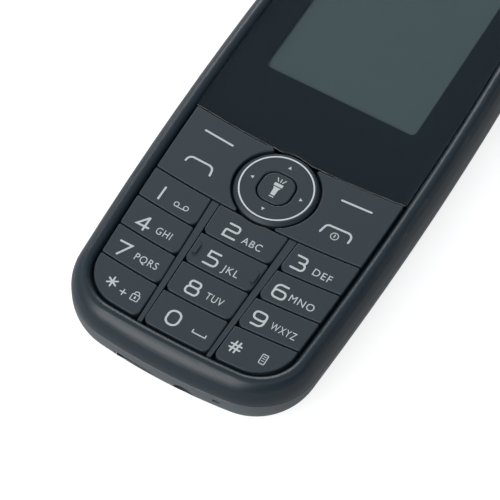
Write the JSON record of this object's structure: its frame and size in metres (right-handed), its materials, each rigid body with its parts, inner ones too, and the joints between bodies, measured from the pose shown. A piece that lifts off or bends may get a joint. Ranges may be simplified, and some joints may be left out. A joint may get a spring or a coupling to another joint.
{
  "type": "bar mobile phone",
  "caption": "Bar mobile phone with a display window, a navigation ring, a number keypad, end sockets and a lift-off battery cover.",
  "frame": {"origin": "middle of the flat back", "axes": "+X to the right of the display, +Y along the phone towards the earpiece, +Z out of the keys"},
  "size_m": [0.048, 0.1136, 0.0134],
  "materials": {
    "front_gloss": "satin, dark blue-grey",
    "rear_shell": "fine satin, grey",
    "cover_shell": "fine satin, grey",
    "key_caps": "satin, dark blue-grey, printed signs",
    "keypad_bars": "satin, dark blue-grey",
    "trim_chrome": "bright",
    "spring_steel": "plain",
    "window_pane": "clear, glossy",
    "window_print": "black screen print behind the pane",
    "adhesive": "foam tape",
    "display": "unlit display glass",
    "backlight": "white",
    "ribbon": "amber film",
    "acoustic_mesh": "woven",
    "keypad_rubber": "translucent silicone",
    "light_diode": "moulded",
    "board": "solder mask",
    "shield_tin": "tinned",
    "holder_steel": "stamped",
    "black_plastic": "moulded",
    "contact_gold": "gold-plated",
    "socket_steel": "stamped, nickel-plated",
    "boot_rubber": "soft",
    "lens": "clear",
    "motor_steel": "drawn can",
    "speaker_frame": "moulded",
    "battery_wrap": "bare wrap without a label"
  },
  "bodies": {
    "handset": {"front_housing": "front_gloss", "rear_housing": "rear_shell", "housing_screws": "spring_steel", "display_window": "window_pane", "window_mask": "window_print", "window_adhesive": "adhesive", "lcd_panel": "display", "lcd_backlight": "backlight", "lcd_ribbon": "ribbon", "earpiece_receiver": "speaker_frame", "earpiece_mesh": "acoustic_mesh", "keypad_frame": "keypad_bars", "keypad_mat": "keypad_rubber", "dome_sheet": "spring_steel", "keypad_lights": "light_diode", "main_board": "board", "lower_shield": "shield_tin", "upper_shield": "shield_tin", "sim_holders": "holder_steel", "memory_card_holder": "holder_steel", "battery_connector": "black_plastic", "battery_contacts": "contact_gold", "micro_usb_socket": "socket_steel", "usb_tongue": "black_plastic", "audio_jack_socket": "black_plastic", "microphone": "socket_steel", "microphone_boot": "boot_rubber", "torch_lens": "lens", "torch_diode": "light_diode", "vibration_motor": "motor_steel", "motor_boot": "boot_rubber", "loudspeaker": "speaker_frame", "antenna": "contact_gold", "battery": "battery_wrap"},
    "nav_carrier": {"nav_carrier": "spring_steel"},
    "nav_ring": {"nav_ring": "key_caps", "nav_trim": "trim_chrome"},
    "motor_weight": {"motor_weight": "motor_steel"},
    "battery_cover": {"battery_cover": "cover_shell"},
    "key_1": {"key_1": "key_caps"},
    "key_2": {"key_2": "key_caps"},
    "key_3": {"key_3": "key_caps"},
    "key_4": {"key_4": "key_caps"},
    "key_5": {"key_5": "key_caps"},
    "key_6": {"key_6": "key_caps"},
    "key_7": {"key_7": "key_caps"},
    "key_8": {"key_8": "key_caps"},
    "key_9": {"key_9": "key_caps"},
    "key_star": {"key_star": "key_caps"},
    "key_0": {"key_0": "key_caps"},
    "key_hash": {"key_hash": "key_caps"},
    "ok_key": {"ok_key": "key_caps"},
    "function_plate_left": {"function_plate_left": "key_caps"},
    "function_plate_right": {"function_plate_right": "key_caps"}
  },
  "joints": [
    {"name": "key_1_press", "type": "slide", "parent": "handset", "child": "key_1", "axis": [0, 0, -1], "range_m": [0, 0.0003], "stiffness_N_per_m": 800},
    {"name": "key_2_press", "type": "slide", "parent": "handset", "child": "key_2", "axis": [0, 0, -1], "range_m": [0, 0.0003], "stiffness_N_per_m": 800},
    {"name": "key_3_press", "type": "slide", "parent": "handset", "child": "key_3", "axis": [0, 0, -1], "range_m": [0, 0.0003], "stiffness_N_per_m": 800},
    {"name": "key_4_press", "type": "slide", "parent": "handset", "child": "key_4", "axis": [0, 0, -1], "range_m": [0, 0.0003], "stiffness_N_per_m": 800},
    {"name": "key_5_press", "type": "slide", "parent": "handset", "child": "key_5", "axis": [0, 0, -1], "range_m": [0, 0.0003], "stiffness_N_per_m": 800},
    {"name": "key_6_press", "type": "slide", "parent": "handset", "child": "key_6", "axis": [0, 0, -1], "range_m": [0, 0.0003], "stiffness_N_per_m": 800},
    {"name": "key_7_press", "type": "slide", "parent": "handset", "child": "key_7", "axis": [0, 0, -1], "range_m": [0, 0.0003], "stiffness_N_per_m": 800},
    {"name": "key_8_press", "type": "slide", "parent": "handset", "child": "key_8", "axis": [0, 0, -1], "range_m": [0, 0.0003], "stiffness_N_per_m": 800},
    {"name": "key_9_press", "type": "slide", "parent": "handset", "child": "key_9", "axis": [0, 0, -1], "range_m": [0, 0.0003], "stiffness_N_per_m": 800},
    {"name": "key_star_press", "type": "slide", "parent": "handset", "child": "key_star", "axis": [0, 0, -1], "range_m": [0, 0.0003], "stiffness_N_per_m": 800},
    {"name": "key_0_press", "type": "slide", "parent": "handset", "child": "key_0", "axis": [0, 0, -1], "range_m": [0, 0.0003], "stiffness_N_per_m": 800},
    {"name": "key_hash_press", "type": "slide", "parent": "handset", "child": "key_hash", "axis": [0, 0, -1], "range_m": [0, 0.0003], "stiffness_N_per_m": 800},
    {"name": "ok_key_press", "type": "slide", "parent": "handset", "child": "ok_key", "axis": [0, 0, -1], "range_m": [0, 0.0003], "stiffness_N_per_m": 800},
    {"name": "function_plate_left_rock", "type": "hinge", "parent": "handset", "child": "function_plate_left", "pos_m": [-0.013, -0.0186, 0.0114], "axis": [1, 0, 0], "range_deg": [-1.5, 1.5], "stiffness_Nm_per_rad": 0.05},
    {"name": "function_plate_right_rock", "type": "hinge", "parent": "handset", "child": "function_plate_right", "pos_m": [0.013, -0.0186, 0.0114], "axis": [1, 0, 0], "range_deg": [-1.5, 1.5], "stiffness_Nm_per_rad": 0.05},
    {"name": "nav_tilt_up_down", "type": "hinge", "parent": "handset", "child": "nav_carrier", "pos_m": [0, -0.019, 0.01095], "axis": [1, 0, 0], "range_deg": [-2.4, 2.4], "stiffness_Nm_per_rad": 0.03},
    {"name": "nav_tilt_left_right", "type": "hinge", "parent": "nav_carrier", "child": "nav_ring", "pos_m": [0, -0.019, 0.01095], "axis": [0, 1, 0], "range_deg": [-2.4, 2.4], "stiffness_Nm_per_rad": 0.03},
    {"name": "vibration_spin", "type": "hinge", "parent": "handset", "child": "motor_weight", "pos_m": [-0.0079, -0.0466, 0.0049], "axis": [1, 0, 0], "continuous": true},
    {"name": "cover_lift", "type": "slide", "parent": "handset", "child": "battery_cover", "axis": [0, 0, -1], "range_m": [0, 0.03]}
  ]
}
